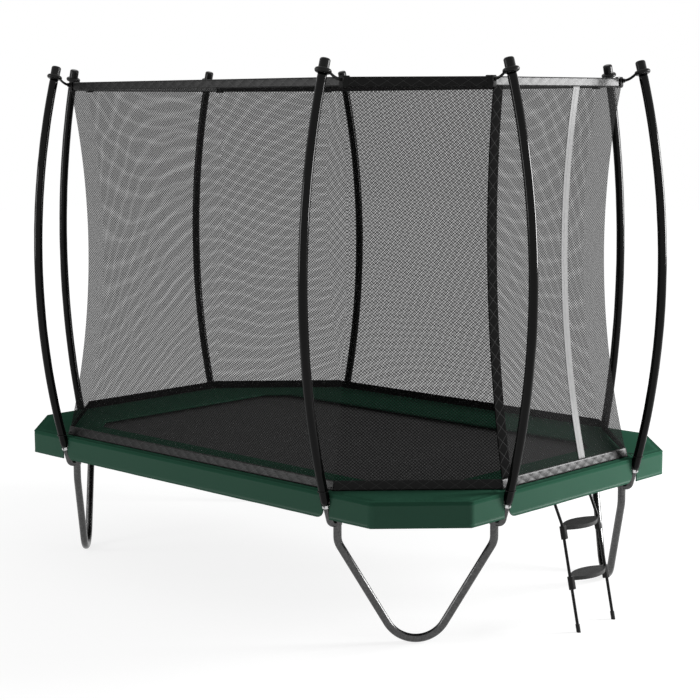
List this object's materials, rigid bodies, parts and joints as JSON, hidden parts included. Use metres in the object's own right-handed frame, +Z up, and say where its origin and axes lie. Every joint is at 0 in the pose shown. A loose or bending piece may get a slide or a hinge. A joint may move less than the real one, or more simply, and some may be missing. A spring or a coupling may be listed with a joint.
{
  "type": "trampoline",
  "caption": "rectangular garden trampoline with cut corners, V-shaped legs, padded edge, sprung mat, safety net on bowed poles and a hook-on ladder",
  "frame": {"origin": "on the ground under the middle of the bed", "axes": "+X along the bed towards the ladder, +Y across the bed, +Z up"},
  "size_m": [3.7446, 2.6746, 2.8913],
  "materials": {
    "frame_steel": "dull galvanised steel tube",
    "cap_plastic": "black moulded plastic",
    "sleeve_foam": "glossy black skin over foam",
    "pad_vinyl": "smooth dark green coated fabric over foam",
    "net_mesh": "fine black knotless mesh",
    "quilt": "black quilted webbing",
    "webbing": "black woven webbing",
    "mat_weave": "tightly woven black mesh",
    "spring_steel": "zinc-plated wire",
    "ladder_paint": "satin black paint",
    "tread_plastic": "matt dark grey moulded plastic",
    "foot_rubber": "black rubber"
  },
  "bodies": {
    "frame": {"rail_front": "frame_steel", "rail_back": "frame_steel", "rail_left": "frame_steel", "rail_right": "frame_steel", "corner_rail_front_left": "frame_steel", "corner_rail_front_right": "frame_steel", "corner_rail_back_left": "frame_steel", "corner_rail_back_right": "frame_steel", "frame_sockets": "frame_steel", "pole_brackets": "frame_steel", "leg_uppers_front_left": "frame_steel", "leg_uppers_front_right": "frame_steel", "leg_uppers_back_left": "frame_steel", "leg_uppers_back_right": "frame_steel", "leg_foot_front_left": "frame_steel", "leg_foot_front_right": "frame_steel", "leg_foot_back_left": "frame_steel", "leg_foot_back_right": "frame_steel", "pole_tubes": "frame_steel", "pole_screws": "frame_steel", "pole_caps": "cap_plastic", "pole_front_left": "sleeve_foam", "pole_front_right": "sleeve_foam", "pole_back_left": "sleeve_foam", "pole_back_right": "sleeve_foam", "pole_left_front": "sleeve_foam", "pole_left_back": "sleeve_foam", "pole_right_front": "sleeve_foam", "pole_right_back": "sleeve_foam", "pad_front": "pad_vinyl", "pad_back": "pad_vinyl", "pad_left": "pad_vinyl", "pad_right": "pad_vinyl", "corner_pad_front_left": "pad_vinyl", "corner_pad_front_right": "pad_vinyl", "corner_pad_back_left": "pad_vinyl", "corner_pad_back_right": "pad_vinyl", "net_front": "net_mesh", "net_back": "net_mesh", "net_left": "net_mesh", "net_right": "net_mesh", "net_corner_front_left": "net_mesh", "net_corner_front_right": "net_mesh", "net_corner_back_left": "net_mesh", "net_corner_back_right": "net_mesh", "net_top_band": "quilt", "net_top_rod": "cap_plastic", "net_foot_band": "quilt", "net_tapes": "quilt", "net_straps": "webbing", "springs": "spring_steel"},
    "mat": {"mat": "mat_weave", "mat_hem": "webbing", "mat_rings": "spring_steel"},
    "ladder": {"ladder_stile_front": "ladder_paint", "ladder_stile_back": "ladder_paint", "ladder_tread_lower": "tread_plastic", "ladder_tread_upper": "tread_plastic", "ladder_clamps": "cap_plastic", "ladder_feet": "foot_rubber"}
  },
  "joints": [
    {"name": "mat_bounce", "type": "slide", "parent": "frame", "child": "mat", "axis": [0, 0, 1], "range_m": [-0.2, 0], "stiffness_N_per_m": 5000, "springref_m": 0.05, "deforming": ["springs"]},
    {"name": "ladder_swing", "type": "hinge", "parent": "frame", "child": "ladder", "pos_m": [1.62, 0.019, 0.7357], "axis": [0, -1, 0], "range_deg": [0, 3]}
  ]
}
